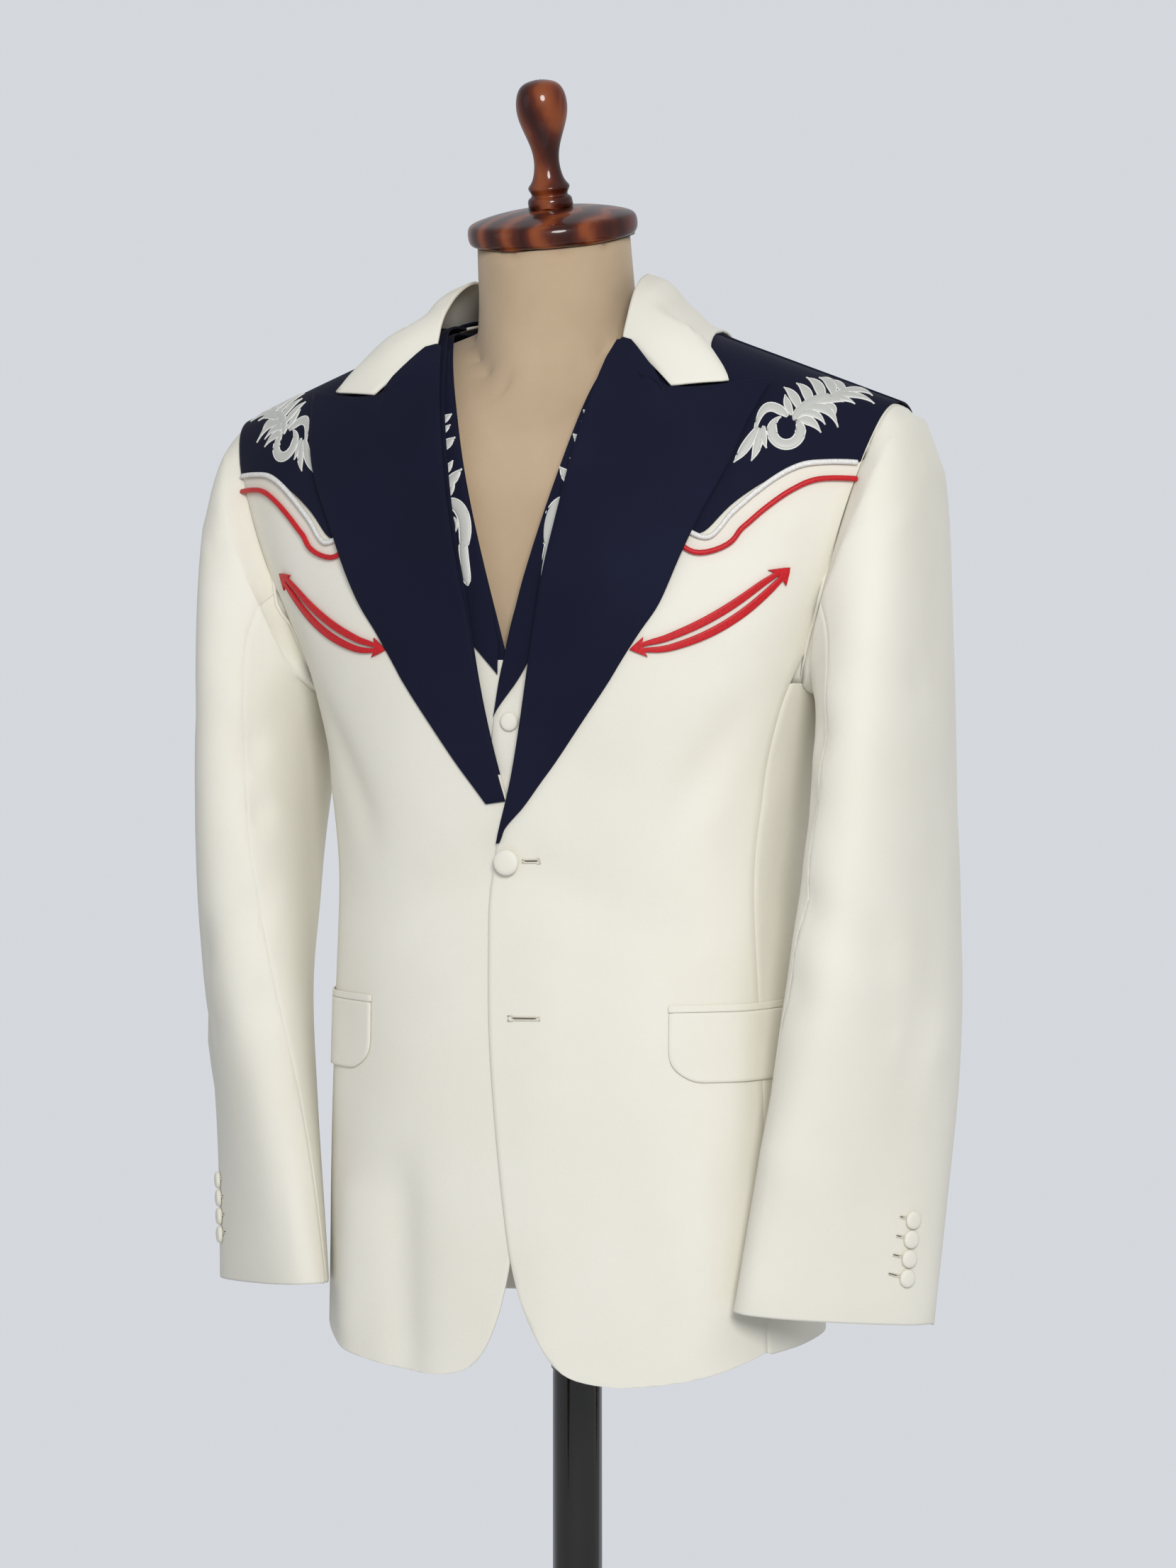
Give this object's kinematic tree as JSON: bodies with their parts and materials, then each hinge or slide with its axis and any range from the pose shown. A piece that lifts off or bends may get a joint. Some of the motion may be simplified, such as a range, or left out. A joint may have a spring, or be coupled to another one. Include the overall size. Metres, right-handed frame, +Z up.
{
  "type": "western suit on a dress form",
  "caption": "Ivory western jacket and waistcoat with navy peak lapels and yokes, piped edges and crescent pockets, on a limbless dress form with a wooden cap, pole and round base.",
  "frame": {"origin": "on the floor, at the centre of the base's underside, under the pole's axis", "axes": "+Z up along the pole, -Y the way the suit faces, +X the wearer's left"},
  "size_m": [0.5684, 0.36, 1.6384],
  "materials": {
    "ivory_wool": "fine smooth wool suiting",
    "navy_wool": "fine navy wool suiting",
    "red_cord": "red satin piping and welts",
    "white_cord": "white satin piping",
    "form_linen": "beige jersey over a hard form",
    "varnished_wood": "dark red-brown gloss varnish",
    "black_metal": "gloss black"
  },
  "bodies": {
    "root": {"back_piping_red": "red_cord", "back_piping_white": "white_cord", "base": "black_metal", "cap_handle": "varnished_wood", "collar": "ivory_wool", "cuff_button_left_1": "ivory_wool", "cuff_button_left_2": "ivory_wool", "cuff_button_left_3": "ivory_wool", "cuff_button_left_4": "ivory_wool", "cuff_button_right_1": "ivory_wool", "cuff_button_right_2": "ivory_wool", "cuff_button_right_3": "ivory_wool", "cuff_button_right_4": "ivory_wool", "flap_welt_left": "ivory_wool", "flap_welt_right": "ivory_wool", "form_torso": "form_linen", "jacket_back_left": "ivory_wool", "jacket_back_right": "ivory_wool", "jacket_button": "ivory_wool", "jacket_front_left": "ivory_wool", "jacket_front_right": "ivory_wool", "jacket_side_left": "ivory_wool", "jacket_side_right": "ivory_wool", "lapel_left": "navy_wool", "lapel_right": "navy_wool", "neck_cap": "varnished_wood", "pocket_flap_left": "ivory_wool", "pocket_flap_right": "ivory_wool", "pole_lower": "black_metal", "pole_ring": "black_metal", "pole_upper": "black_metal", "smile_pocket_left": "red_cord", "smile_pocket_right": "red_cord", "topsleeve_left": "ivory_wool", "topsleeve_right": "ivory_wool", "undersleeve_left": "ivory_wool", "undersleeve_right": "ivory_wool", "vest_back": "navy_wool", "vest_button": "ivory_wool", "vest_front_left": "ivory_wool", "vest_front_right": "ivory_wool", "vest_lapel_left": "navy_wool", "vest_lapel_right": "navy_wool", "yoke_back": "navy_wool", "yoke_front_left": "navy_wool", "yoke_front_right": "navy_wool", "yoke_piping_red_left": "red_cord", "yoke_piping_red_right": "red_cord", "yoke_piping_white_left": "white_cord", "yoke_piping_white_right": "white_cord"}
  },
  "joints": []
}
